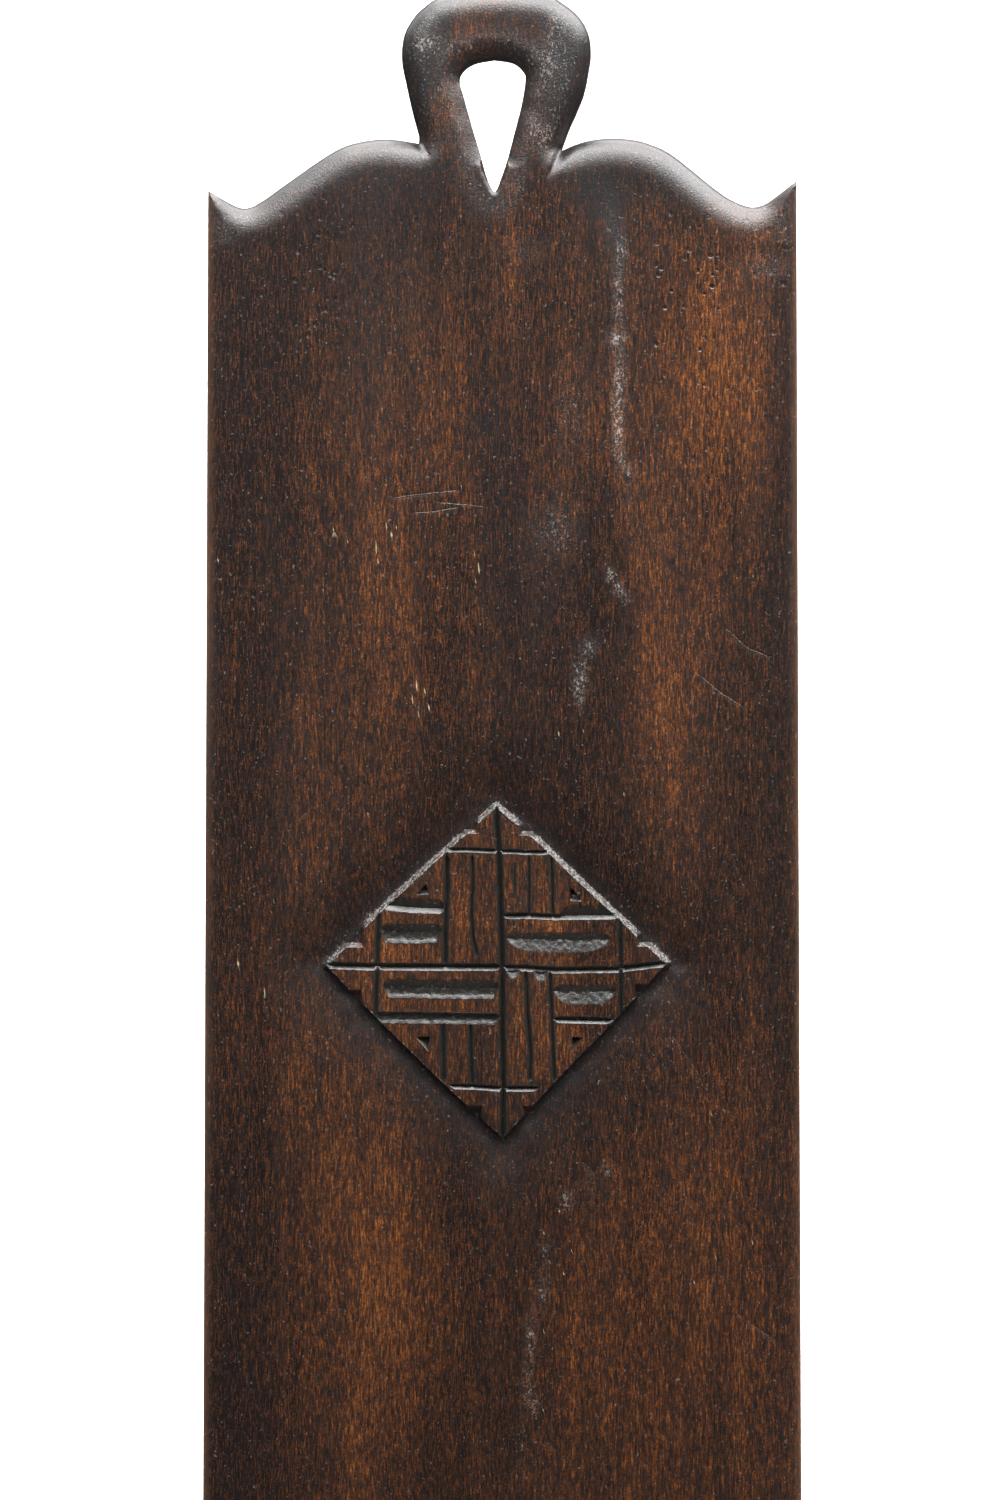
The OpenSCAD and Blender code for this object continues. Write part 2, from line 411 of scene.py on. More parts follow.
board_edge = Edge([
    ([(foot_half, 0), (-foot_half, 0)], 4, (2, 2), (2, 2)),
    ([(-foot_half, 0), left_shoulder[0]], 3, (1.3, 1.2), (2.2, 2)),
    (left_shoulder[:TIP + 1], 1.3, (3, 3), (3, 3)),
    (np.vstack([left_shoulder[TIP:], handle[:1]]), 1.3, (15, 11), (6, 5)),
    (handle, 1.3, (12, 10), (8, 7)),
    (np.vstack([handle[-1:], right_shoulder[:-TIP]]), 1.3, (15, 11), (6, 5)),
    (right_shoulder[-TIP - 1:], 1.3, (3, 3), (3, 3)),
    ([right_shoulder[-1], (foot_half, 0)], 3, (1.3, 1.2), (2.2, 2)),
], -1)
hole_edge = Edge([
    (hole[:HOLE_TIP[0] + 1], 1.3, (4, 4), (4, 4)),
    (hole[HOLE_TIP[0]:HOLE_TIP[1] + 1], 1.3, (2.6, 1.4), (4, 4)),
    (hole[HOLE_TIP[1]:], 1.3, (4, 4), (4, 4)),
], 1)
mortise_x = TONGUE_WIDTH / 2 + MORTISE_GAP
mortise_z = seat_thick / 2 + MORTISE_GAP
mortise_edge = Edge([([
    (-mortise_x, seat_middle - mortise_z), (mortise_x, seat_middle - mortise_z),
    (mortise_x, seat_middle + mortise_z), (-mortise_x, seat_middle + mortise_z),
    (-mortise_x, seat_middle - mortise_z)], 2.5, (1.4, 1.3), (1.6, 1.5))], -1)
board = Plank([board_edge, hole_edge, mortise_edge], board_thick)

# The raised panel's top as a diamond with slightly bowed sides, from the middle of the lozenge.
DIAMOND = np.array([
    (-2.2, 79.2), (17.1, 63.1), (38.6, 42.4), (57.2, 25.2), (81.4, 2.4), (54.6, -26.6), (27.6, -54.6),
    (1.2, -83.2), (-28.3, -56.2), (-57.8, -27.4), (-85.2, 0.9), (-57.4, 29.2), (-28.7, 55.5),
]) + LOZENGE_MIDDLE

# The stepped notches beside its four corners: each one's inner corner, and the way it opens.
NOTCHES = [(LOZENGE_MIDDLE + (x, z), way) for x, z, way in [
    (-10.8, 66.2, (-1, 1)), (9.0, 65.4, (1, 1)), (66.9, 10.9, (1, 1)), (65.6, -7.4, (1, -1)),
    (10.9, -67.4, (1, -1)), (-8.9, -67.4, (-1, -1)), (-68.0, -10.4, (-1, -1)), (-66.8, 10.3, (-1, 1)),
]]
NOTCH_WALL = 2.2
NOTCH_REACH = 11


def panel_gap(points):
    """Distance outside the diamond, negative inside it."""
    distance = nearest(points, DIAMOND, np.roll(DIAMOND, -1, 0))[0]
    return np.where(inside(points, DIAMOND), -distance, distance)


def notch_depth(points):
    """The notches' steep walls and their floors, which are level with the trench around the panel."""
    past = np.max([((points - corner) * way).min(1) for corner, way in NOTCHES], axis=0)
    return BORDER_DEPTH * np.clip(past / NOTCH_WALL, 0, 1)


def notch_ledge(points):
    """True on the notches' walls that face up."""
    found = np.zeros(len(points), bool)
    for corner, way in NOTCHES:
        past = (points - corner) * way
        found |= (way[1] > 0) & (past[:, 1] > -0.1) & (past[:, 1] < NOTCH_WALL) & (past[:, 0] > past[:, 1])
    return found


class Cut:
    """A groove: its deepest line, the width of its wall on either side (above or left of the line, then
    below or right of it), its depth, how rough its floor is, how the lower wall bends, and the share of the
    length over which that wall tapers to each end. A bend of 1 is straight, and over 1 it is hollow like a
    gouge's cut."""

    def __init__(self, points, above, below, depth, rough=0.0, bend=1.0, taper=0.0, seed=0):
        line = resample(points, 0.9)
        along = np.gradient(line, axis=0)
        along /= np.linalg.norm(along, axis=1)[:, None]
        across = np.column_stack([-along[:, 1], along[:, 0]])
        if across[len(line) // 2].dot((-0.4, 1)) < 0:
            across = -across
        shake = np.array([noise.noise((s / 7, seed, 3.7)) for s in range(len(line))])
        line = line + across * (0.22 * shake)[:, None]
        from_end = np.minimum(np.arange(len(line)), np.arange(len(line))[::-1])
        fade = np.sqrt(np.clip((from_end + 0.1) / min(3.0, len(line) / 3), 0, 1))
        chatter = np.array([noise.noise((s / 2.5, seed, 9.1)) for s in range(len(line))])
        self.line = line
        self.across = across
        self.above = above * fade * (1 + 0.18 * chatter)
        lens = np.clip(from_end / (taper * len(line) + 0.1), 0, 1) ** 0.5 if taper else 1
        self.below = below * fade * lens * (1 + 0.12 * np.roll(chatter, 5))
        self.depth = depth * fade * (1 + 0.15 * shake)
        self.rough = rough
        self.bend = bend

    def lines(self):
        made = [self.line, self.line + self.across * np.maximum(self.above, 0.02)[:, None]]
        for share in [0.75, 1] if self.rough else [1]:
            made.append(self.line - self.across * np.maximum(share * self.below, 0.02)[:, None])
        return made

    def carve(self, points, grow=0.0):
        """The cut's depth at each point, with its walls that much wider."""
        reach = max(self.above.max(), self.below.max()) + grow
        result = np.zeros(len(points))
        near = np.all((points > self.line.min(0) - reach) & (points < self.line.max(0) + reach), axis=1)
        if not near.any():
            return result
        some = points[near]
        distance, index, along = nearest(some, self.line[:-1], self.line[1:])
        at = index + along
        steps = np.arange(len(self.line))
        across = self.across[np.minimum(index, len(self.across) - 1)]
        above = ((some - self.line[index]) * across).sum(1) > 0
        width = np.where(above, np.interp(at, steps, self.above), np.interp(at, steps, self.below))
        share = np.clip(distance / np.maximum(width + grow, 0.01), 0, 1)
        share = np.where(above, share, share ** self.bend)
        depth = np.interp(at, steps, self.depth) * (1 - share)
        if self.rough:
            depth += self.rough * wave(some, 1.3, 5) * np.minimum((1 - share) * 4, 1)
        result[near] = np.maximum(depth, 0)
        return result


CUTS = [Cut(np.array(points) + LOZENGE_MIDDLE, *shape, seed=i) for i, (points, shape) in enumerate([
    # The cross through the middle.
    ([(-2.3, 82), (-0.8, 57), (0.1, 30), (0.9, 0), (0.9, -27), (1.4, -58), (1.1, -85)], (1.6, 1.7, 2.6)),
    ([(-87, 1.8), (-61, 1.2), (-27, 1.1), (0.5, 1.0)], (1.5, 2.1, 1.9)),
    ([(0.5, 0.8), (12, 0.6), (27, -0.5), (58, 0.0), (85, 3.4)], (1.4, 1.9, 1.7)),
    # The frame.
    ([(-30, 58.6), (-17, 58.8), (-1, 58.0), (20, 57.3), (26, 58.2)], (0.9, 1.5, 1.3)),
    ([(-59.6, 28), (-60.5, 12), (-60.8, 0), (-61.2, -12), (-61.6, -27)], (1.4, 1.4, 1.8)),
    ([(58.8, 26), (59.0, 12), (59.2, 0), (59.2, -24)], (1.1, 1.2, 1.6)),
    ([(-25, -57.4), (-13, -57.8), (0, -58.6), (19, -58.6)], (1.0, 1.8, 1.5)),
    # Upper left.
    ([(-26.4, 56), (-26.0, 42), (-26.7, 28), (-27.2, 15), (-27.0, 1)], (1.4, 1.5, 2.0)),
    ([(-13.9, 56), (-13.6, 42), (-14.2, 27), (-13.4, 15), (-11.2, 5)], (1.0, 1.1, 1.4)),
    ([(-58.5, 31.6), (-46, 30.1), (-27, 29.4)], (4.6, 2.6, 2.1)),
    ([(-59, 18.6), (-44, 18.4), (-29, 18.8)], (3.4, 6.0, 2.1, 0.4, 6, 0.06)),
    # Upper right.
    ([(25, 56), (25.6, 42), (25.8, 25)], (0.9, 0.9, 1.3)),
    ([(14.0, 56), (14.2, 42), (14.0, 25)], (0.7, 0.8, 1.0)),
    ([(7.1, 52), (7.1, 36)], (0.6, 0.6, 0.6)),
    ([(1, 26.2), (14, 26.4), (27, 25.8), (59, 26.2)], (1.2, 1.9, 1.7)),
    ([(29, 26.0), (42, 26.2), (57, 26.3)], (4.8, 1.6, 1.9)),
    ([(3, 14.9), (20, 14.5), (35, 14.3), (54, 14.5)], (3.2, 6.4, 1.6, 0.4, 1, 0.2)),
    # Lower right.
    ([(12.4, -1), (13.0, -14), (13.7, -27), (14.9, -43), (14.3, -56)], (1.2, 1.2, 1.6)),
    ([(24.2, -1), (25.0, -18), (25.6, -33), (26.6, -56)], (1.1, 1.1, 1.5)),
    ([(3, -1.2), (6, -1.8), (10, -1.2)], (1.2, 3.2, 1.4, 0.4, 1, 0.4)),
    ([(16, -1.6), (20, -2.6), (24, -1.6)], (1.0, 4.2, 1.5, 0.4, 1, 0.4)),
    ([(26, -11.0), (40, -11.4), (57, -11.2)], (3.2, 6.4, 1.6, 0.4, 1, 0.22)),
    ([(26, -24.6), (42, -24.9), (55, -25.2)], (1.3, 2.0, 1.7)),
    # Lower left.
    ([(-58, -8.6), (-40, -8.8), (-20, -9.2), (-0.5, -9.0)], (3.4, 5.6, 2.1, 0.4, 6, 0.05)),
    ([(-63, -22.6), (-40, -22.8), (-20, -23.1), (0.5, -23.4)], (1.4, 4.2, 1.9, 0.4, 5, 0.05)),
    ([(-28.4, -26), (-28.2, -41), (-27.8, -57)], (1.6, 1.6, 1.8)),
    ([(-14.8, -27), (-14.4, -42), (-13.9, -58)], (1.2, 1.2, 1.5)),
])]

# Pale scratches, and chips that show bare wood: their points from the middle of the foot, and their depth.
SCRATCHES = [Cut(points, 0.35, 0.35, depth, seed=40 + i) for i, (points, depth) in enumerate([
    ([(-53, 684.5), (-38, 686.5), (-21, 688)], 0.10),
    ([(-43, 677), (-33, 677.5), (-22, 679.5)], 0.08),
    ([(-30, 682), (-18, 681), (-9, 680)], 0.07),
    ([(116, 284), (125, 277), (134, 271)], 0.16),
    ([(110, 620), (120, 611), (131, 606)], 0.10),
    ([(96, 598), (108, 588), (118, 582)], 0.08),
    ([(-118, 441), (-116, 436), (-115, 428)], 0.14),
    ([(84, 420), (96, 402), (101, 390)], 0.07),
    ([(39.5, 358), (43, 355), (46, 351)], 0.12),
    ([(22, 220), (27, 217), (32, 211)], 0.12),
    ([(0.4, 226), (1.2, 220), (3, 214)], 0.10),
])]
CHIPS = [Cut([(x, z), (x + 0.4, z - high)], 0.7 * wide, 0.7 * wide, 0.35, seed=60 + i)
         for i, (x, z, high, wide) in enumerate([
    (-62, 664, 7, 0.5), (-61, 655, 3, 0.6), (-57, 673, 4, 0.4), (-54.5, 668, 3, 0.9), (-52, 671, 2, 0.5),
    (-13.6, 659, 4, 0.4), (-11.4, 653, 6, 0.6), (-13, 645, 3, 0.4), (-42, 595, 5, 0.8),
    (-38, 591, 3, 0.7), (-44, 588, 5, 0.5), (-36, 583, 3, 0.8), (-41, 580, 4, 0.5), (-130, 457, 3, 1.0),
    (-117, 444, 6, 0.5), (-83, 670, 2, 0.6), (-76, 664, 2, 0.5), (28, 570, 2.5, 0.6), (40, 571, 2, 0.4),
    (28.2, 335, 2, 0.8), (20.6, 324, 1.5, 0.7), (34.2, 315, 1, 0.7), (30.4, 304, 1.5, 0.7),
    (94.5, 300, 1.5, 0.8), (123, 320, 2.5, 0.5), (20.6, 275, 1, 0.6), (20.2, 237, 1.5, 0.7),
    (60.6, 390, 1, 0.5), (103, 382, 1, 0.7), (66, 375, 1, 0.5), (105, 312, 1, 0.6), (-20, 691, 1.5, 0.5),
    (60, 540, 2, 0.5), (-140, 655, 2, 0.6), (-66, 530, 2, 0.5),
])]

# The triangular pits between the bands, each by its square corner and its two legs.
PIT_DEPTH = 2.8
PITS = [np.array(p) + LOZENGE_MIDDLE for p in [
    [(-35.0, 36.4), (-42.0, 36.0), (-36.4, 42.4)],
    [(34.0, 33.3), (40.4, 33.0), (34.2, 41.0)],
    [(35.0, -33.3), (41.0, -33.6), (34.5, -42.0)],
    [(-34.8, -33.3), (-42.0, -33.6), (-35.0, -41.4)],
]]


def pit_depth(points):
    """Pits cut with three strokes. The stroke from below leaves a shallow wall, the others steep ones."""
    total = np.zeros(len(points))
    for p in PITS:
        ring = p if np.cross(p[1] - p[0], p[2] - p[0]) > 0 else p[::-1]
        depth = np.full(len(points), PIT_DEPTH)
        for start, end in zip(ring, np.roll(ring, -1, 0)):
            along = (end - start) / np.linalg.norm(end - start)
            inward = np.array([-along[1], along[0]])
            depth = np.minimum(depth, (points - start) @ inward * (1.1 if inward[1] > 0.5 else 3.0))
        total = np.maximum(total, depth)
    return total


def lozenge_depth(points):
    """The raised panel with its cuts, the steep wall around it, and the ground that slopes down to it."""
    result = np.zeros(len(points))
    near = np.abs(points - LOZENGE_MIDDLE).sum(1) < 86 + 1.5 * GROUND_WIDTH
    some = points[near]
    gap = panel_gap(some)
    wall = np.where(some[:, 1] > LOZENGE_MIDDLE[1], UPPER_WALL, LOWER_WALL)
    slope = np.clip(1 - (gap - wall - TRENCH_FLOOR) / GROUND_WIDTH, 0, 1) ** 2
    ground = BORDER_DEPTH * slope * (1 + 0.12 * wave(some, 9, 1))
    depth = np.where(gap < wall, BORDER_DEPTH * np.clip(gap / wall, 0, 1), ground)
    depth = np.maximum(depth, notch_depth(some) * (gap < wall))
    worn_edge = 0.25 * np.exp(np.minimum(gap, 0) / 0.7) * (gap < 0)
    cuts = np.max([c.carve(some) for c in CUTS], axis=0)
    keep = np.clip(1 - gap / 1.2, 0, 1) * np.clip(1 - depth / BORDER_DEPTH, 0, 1)
    result[near] = depth + worn_edge + np.maximum(cuts, pit_depth(some)) * keep
    return result


# The carver's two cuts that run in from the handle's roots, between the loop and the shoulders.
ROOT_CUTS = [
    (handle[0], (-35.4, board_length - 83.0)),
    (handle[-1], (22.6, board_length - 93.4)),
]


def root_depth(points):
    total = np.zeros(len(points))
    for start, end in ROOT_CUTS:
        start, end = np.array(start), np.array(end)
        distance, _, along = nearest(points, start[None], end[None])
        run = (end - start) / np.linalg.norm(end - start)
        down = np.array([run[1], -run[0]]) if run[0] > 0 else np.array([-run[1], run[0]])
        below = ((points - start) * down).sum(1) > 0
        width = np.where(below, 7, 2.4) * (1 - 0.6 * along)
        total = np.maximum(total, 2.8 * (1 - along) ** 0.8 * smooth(1 - distance / width))
    return total


board_box = ((-foot_half, 0), (foot_half, board_length))


def front_depth(points):
    planed = 0.18 + 0.14 * wave(points, 60, 11, 2.2) + 0.04 * wave(points, 17, 12, 3)
    marks = np.max([c.carve(points) for c in SCRATCHES + CHIPS], axis=0)
    return np.maximum(planed, 0) + lozenge_depth(points) + root_depth(points) + marks


def back_depth(points):
    marks = strikes(points, 21, 1.7, 0.55, 4, board_box)
    return np.maximum(marks + 0.25 + 0.2 * wave(points, 70, 14, 2), 0)


def outward(polygon):
    """At each corner of a clockwise polygon, the shift that moves both its sides out by one unit."""
    side = np.roll(polygon, -1, 0) - polygon
    side /= np.linalg.norm(side, axis=1)[:, None]
    normal = np.column_stack([-side[:, 1], side[:, 0]])
    both = normal + np.roll(normal, 1, 0)
    return 2 * both / (both ** 2).sum(1)[:, None]


def front_spots():
    rng = np.random.default_rng(8)
    wide = hex_grid(*board_box, 4, rng)
    reach = np.abs(wide - LOZENGE_MIDDLE).sum(1)
    wide = wide[(reach > 150) | (panel_gap(wide) > GROUND_WIDTH)]
    ground = hex_grid(LOZENGE_MIDDLE - 125, LOZENGE_MIDDLE + 125, 2.2, rng)
    gap = panel_gap(ground)
    ground = ground[(gap > UPPER_WALL + 0.6) & (gap <= GROUND_WIDTH + 2)]
    fine = hex_grid(LOZENGE_MIDDLE - 92, LOZENGE_MIDDLE + 92, 0.95, rng)
    fine = fine[panel_gap(fine) < UPPER_WALL + 0.6]
    lines = np.vstack([line for c in CUTS for line in c.lines()])
    fine = fine[nearest(fine, lines, lines)[0] > 0.42]
    return np.vstack([wide, ground, fine])


def front_lines():
    """The lines that the mesh follows, so that the carving's edges stay crisp."""
    lines = [line for c in CUTS + SCRATCHES + CHIPS for line in c.lines()]
    wall = np.where(DIAMOND[:, 1] > LOZENGE_MIDDLE[1] + 3, UPPER_WALL, LOWER_WALL)
    foot = DIAMOND + wall[:, None] * outward(DIAMOND)
    for diamond in (DIAMOND, foot):
        lines += [resample(side, 1.0) for side in zip(diamond, np.roll(diamond, -1, 0))]
    for corner, way in NOTCHES:
        for step in (0.02, NOTCH_WALL):
            inner = np.array(corner) + step * np.array(way)
            legs = [inner + (0, way[1] * NOTCH_REACH), inner, inner + (way[0] * NOTCH_REACH, 0)]
            lines += [resample(legs[:2], 1.0), resample(legs[1:], 1.0)]
    for p in PITS:
        lines.append(resample(np.vstack([p, p[:1]]), 1.0))
    for start, end in ROOT_CUTS:
        inner = np.array(start) * 0.97 + np.array(end) * 0.03
        lines.append(resample([inner, end], 1.0))
    return lines


def board_place(flat, depth):
    """The foot is cut level with the floor, so the bottom of the board slants across its thickness."""
    y = depth - board_thick / 2
    z = flat[:, 1] + y * math.tan(lean) * np.clip(1 - flat[:, 1] / 60, 0, 1)
    return np.column_stack([flat[:, 0], y, z])


def make_board():
    back = hex_grid(*board_box, 4.2, np.random.default_rng(9))
    piece, co, rim, side = board.build("headrest_board_wood", (front_spots(), front_lines(), front_depth),
                                       (back, [], back_depth), board_place)
    paint_board(piece, co[:, [0, 2]], rim, side)
    return piece


# ---------------- the seat

CORNER_RADIUS = 26
FRONT_BOW = 9
DISH_DEPTH = 7
DISH_RADIUS = 116
seat_front = seat_low[1]
tail_end = seat_high[1]
shoulder_line = -board_thick / 2 - SHOULDER_GAP
dish_middle = np.array([0, (seat_front - board_thick / 2) / 2])


def make_seat():
    chord = seat_half - CORNER_RADIUS
    bow = (chord ** 2 + FRONT_BOW ** 2) / (2 * FRONT_BOW)
    turn = math.degrees(math.asin(chord / bow))
    corner_y = seat_front + FRONT_BOW + CORNER_RADIUS
    front = np.vstack([
        arc((-chord, corner_y), CORNER_RADIUS, 180, 270 - turn),
        arc((0, seat_front + bow), bow, 270 - turn, 270 + turn),
        arc((chord, corner_y), CORNER_RADIUS, 270 + turn, 360),
    ])
    tongue, tail = TONGUE_WIDTH / 2, TAIL_WIDTH / 2
    square = (1.2, 1.2)
    rounded = (3, 2.6)
    edge = Edge([
        (front, 2, (9, 7), (6, 5)),
        ([front[-1], (seat_half, shoulder_line)], 3, (6, 5), (4, 4)),
        ([(seat_half, shoulder_line), (tongue, shoulder_line)], 2, square, square),
        ([(tongue, shoulder_line), (tongue, board_thick)], 2, square, square),
        ([(tongue, board_thick), (tail, tail_end)], 3, rounded, rounded),
        ([(tail, tail_end), (-tail, tail_end)], 3, rounded, (1, 1)),
        ([(-tail, tail_end), (-tongue, board_thick)], 3, rounded, rounded),
        ([(-tongue, board_thick), (-tongue, shoulder_line)], 2, square, square),
        ([(-tongue, shoulder_line), (-seat_half, shoulder_line)], 2, square, square),
        ([(-seat_half, shoulder_line), front[0]], 3, (6, 5), (4, 4)),
    ], 1)
    seat = Plank([edge], seat_thick)
    box = ((-seat_half, seat_front), (seat_half, tail_end))

    def top_depth(points):
        r = np.linalg.norm(points - dish_middle, axis=1) / (DISH_RADIUS * 1.08)
        dish = DISH_DEPTH * np.clip(1 - r ** 2, 0, 1) ** 1.35
        return np.maximum(0.15 + 0.15 * wave(points, 50, 21, 2), 0) + dish

    def under_depth(points):
        level = np.maximum(points[:, 1] * math.tan(lean) - seat_low[2], 0)
        marks = strikes(points, 20, 1.8, 0.6, 5, box)
        fade = smooth(points[:, 1], shoulder_line + 10, shoulder_line - 30)
        tail_marks = smooth(points[:, 1], board_thick, board_thick + 30)
        return level + (marks + 0.2) * np.maximum(fade, tail_marks * (level == 0))

    top = hex_grid(*box, 3.6, np.random.default_rng(11))
    under = hex_grid(*box, 4, np.random.default_rng(12))
    level_line = seat_low[2] / math.tan(lean)
    half = TAIL_WIDTH / 2 + 1
    lines = [resample([(-half, level_line), (half, level_line)], 3)]
    piece, co, rim, side = seat.build("seat_plank_wood", (top, [], top_depth), (under, lines, under_depth),
                                      lambda flat, depth: np.column_stack([flat, seat_high[2] - depth]))
    paint_seat(piece, co[:, :2], rim, side)
    return piece


# ---------------- materials


class Shade:
    """A small helper that adds nodes to a material or a world and links them."""

    def __init__(self, owner, shader):
        owner.use_nodes = True
        self.tree = owner.node_tree
        self.shader = self.tree.nodes[shader]

    def add(self, kind, inputs, **settings):
        node = self.tree.nodes.new("ShaderNode" + kind)
        for key, value in settings.items():
            setattr(node, key, value)
        for key, value in inputs.items():
            self.put(node.inputs[key], value)
        return node

    def put(self, socket, value):
        if isinstance(value, bpy.types.NodeSocket):
            self.tree.links.new(value, socket)
        else:
            socket.default_value = value

    def set(self, name, value):
        self.put(self.shader.inputs[name], value)

    def noise(self, place, along, scale, detail, rough):
        """Noise over a place, which is first scaled by along in the grain's direction."""
        vector = self.add("Mapping", {"Vector": place, "Scale": (1, 1, along)}).outputs[0]
        return self.add("TexNoise", {"Vector": vector, "Scale": scale, "Detail": detail,
                                     "Roughness": rough}).outputs["Fac"]

    def attribute(self, name):
        return self.add("Attribute", {}, attribute_name=name).outputs["Fac"]

    def ramp(self, value, low, high, to_low=0.0, to_high=1.0, kind="SMOOTHSTEP"):
        return self.add("MapRange", {"Value": value, "From Min": low, "From Max": high, "To Min": to_low,
                                     "To Max": to_high}, interpolation_type=kind).outputs["Result"]

    def math(self, operation, a, b=0.0, c=0.0):
        return self.add("Math", {0: a, 1: b, 2: c}, operation=operation).outputs[0]

    def times(self, a, b):
        return self.math("MULTIPLY", a, b)

    def vary(self, value, noise, amount):
        """The value with a noise added, which moves it by up to half the amount either way."""
        return self.math("ADD", value, self.math("MULTIPLY_ADD", noise, amount, -amount / 2))

    def mix(self, amount, a, b, blend="MIX"):
        node = self.add("Mix", {}, data_type="RGBA", blend_type=blend)
        self.put(node.inputs["Factor"], amount)
        self.put(node.inputs[6], a)
        self.put(node.inputs[7], b)
        return node.outputs[2]


# The wood's tones from the darkest stain to the bare orange wood.
TONES = [
    (0.0, (0.007, 0.005, 0.0045, 1)),
    (0.25, (0.018, 0.010, 0.0075, 1)),
    (0.5, (0.050, 0.018, 0.008, 1)),
    (0.75, (0.125, 0.040, 0.010, 1)),
    (1.0, (0.26, 0.095, 0.022, 1)),
]
# CHARCOAL_AND_SHADE is the grey of charred dark wood, also used as painted shade in the trench round the panel.
CHARCOAL_AND_SHADE = (0.012, 0.0115, 0.0125, 1)
# GROOVE is the grey of the cut wood, made darker as painted shade in the cuts.
GROOVE = (0.014, 0.015, 0.0135, 1)
# DUST_AND_GLINT is the pale colour of dust, scratches and scuffs, also used for painted glints and highlights.
DUST_AND_GLINT = (0.33, 0.30, 0.27, 1)
ARRIS = (0.16, 0.085, 0.05, 1)
BARE = (0.50, 0.40, 0.25, 1)


DENTS = 170.0


def wood(name, turn):
    """Dark stained hardwood, rubbed reddish brown where it is worn, with painted shade in its cuts and trench and
    painted glints and highlights in pale specks. turn brings its grain upright.
    """
    material = bpy.data.materials.new(name)
    s = Shade(material, "Principled BSDF")
    place = s.add("TexCoord", {}).outputs["Object"]
    place = s.add("Mapping", {"Vector": place, "Rotation": (turn, 0, 0)}).outputs[0]
    broad = s.noise(place, 0.18, 20, 3, 0.6)
    mottle = s.noise(place, 0.15, 48, 4, 0.65)
    band = s.noise(place, 0.07, 260, 4, 0.7)
    fibre = s.noise(place, 0.13, 1300, 3, 0.75)
    pores = s.noise(place, 0.13, 2100, 1, 0.5)
    fleck = s.noise(place, 0.13, 1000, 2, 0.6)
    crumb = s.noise(place, 1, 1100, 2, 0.7)
    speck = s.noise(place, 1, 620, 2, 0.6)
    scuff = s.noise(place, 0.6, 850, 3, 0.85)
    names = ("worn", "dark", "char", "groove", "arris", "dust", "pitted", "bare")
    worn, dark, char, groove, edge, dust, pitted, bare = [s.attribute(n) for n in names]

    tone = s.vary(s.vary(s.vary(0.2, broad, 0.65), mottle, 0.6), band, 0.6)
    tone = s.math("ADD", tone, s.times(worn, 0.4))
    tone = s.math("SUBTRACT", tone, s.times(dark, 0.26))
    tone = s.ramp(tone, -0.15, 0.95, 0.18, 0.78)
    tone = s.vary(s.vary(tone, fibre, 2.0), crumb, 0.9)
    tone = s.math("SUBTRACT", tone, s.times(s.ramp(pores, 0.56, 0.68), 0.3))
    scale = s.add("ValToRGB", {"Fac": tone})
    stops = scale.color_ramp.elements
    made = [stops[0], *[stops.new(t[0]) for t in TONES[1:-1]], stops[-1]]
    for (at, color), stop in zip(TONES, made):
        stop.position = at
        stop.color = color
    base = s.mix(s.times(s.ramp(fleck, 0.52, 0.66), 0.6), scale.outputs[0], CHARCOAL_AND_SHADE)
    # Charcoal where the wood is charred and on its rounded top edges, a painted sheen in one patch, and painted
    # shade in the trench round the panel.
    base = s.mix(s.times(char, s.ramp(fibre, 0.42, 0.62, 1.0, 0.5)), base, CHARCOAL_AND_SHADE)
    base = s.mix(s.times(edge, s.ramp(band, 0.3, 0.7, 0.45, 0.9)), base, ARRIS)
    # The cuts and pits are painted dark grey: the cut wood's grey, darkened as painted shade.
    base = s.mix(s.times(groove, 0.9), base, GROOVE)

    # Painted glints: pale specks all over the wood, denser where dust is high; the scuffs are pale rubbed marks.
    specks = s.times(s.ramp(speck, 0.66, 0.74), s.ramp(dust, 0.0, 1.0, 0.25, 0.9))
    scuffs = s.times(s.ramp(s.math("MULTIPLY_ADD", dust, 0.24, scuff), 0.62, 0.74), dust)
    base = s.mix(s.math("MAXIMUM", specks, scuffs), base, DUST_AND_GLINT)

    # Each dent is a hollow painted dark, with a painted glint on its lower lip.
    dents = s.add("TexVoronoi", {"Vector": place, "Scale": DENTS}).outputs["Distance"]
    lower = s.add("Mapping", {"Vector": place, "Location": (0.0003, 0, 0.0006)}).outputs[0]
    glint = s.add("TexVoronoi", {"Vector": lower, "Scale": DENTS}).outputs["Distance"]
    some = s.times(s.ramp(mottle, 0.42, 0.56), pitted)
    hollow = s.times(s.ramp(dents, 0.28, 0.18), some)
    base = s.mix(s.times(hollow, 0.95), base, TONES[0][1])
    base = s.mix(s.times(s.ramp(glint, 0.10, 0.05), s.times(some, 0.7)), base, DUST_AND_GLINT)
    s.set("Base Color", s.mix(bare, base, BARE))
    s.set("Roughness", s.math("ADD", s.ramp(broad, 0.3, 0.7, 0.25, 0.32), s.times(dust, 0.25)))
    s.set("IOR", 1.5)

    height = s.math("ADD", s.times(band, 0.4), s.times(fibre, 0.9))
    height = s.math("ADD", height, s.times(crumb, s.math("MULTIPLY_ADD", dust, 5.0, 0.8)))
    height = s.math("SUBTRACT", height, s.times(hollow, 2.5))
    s.set("Normal", s.add("Bump", {"Height": height, "Strength": 0.6, "Distance": 0.0002}).outputs[0])
    return material


# ---------------- the pieces

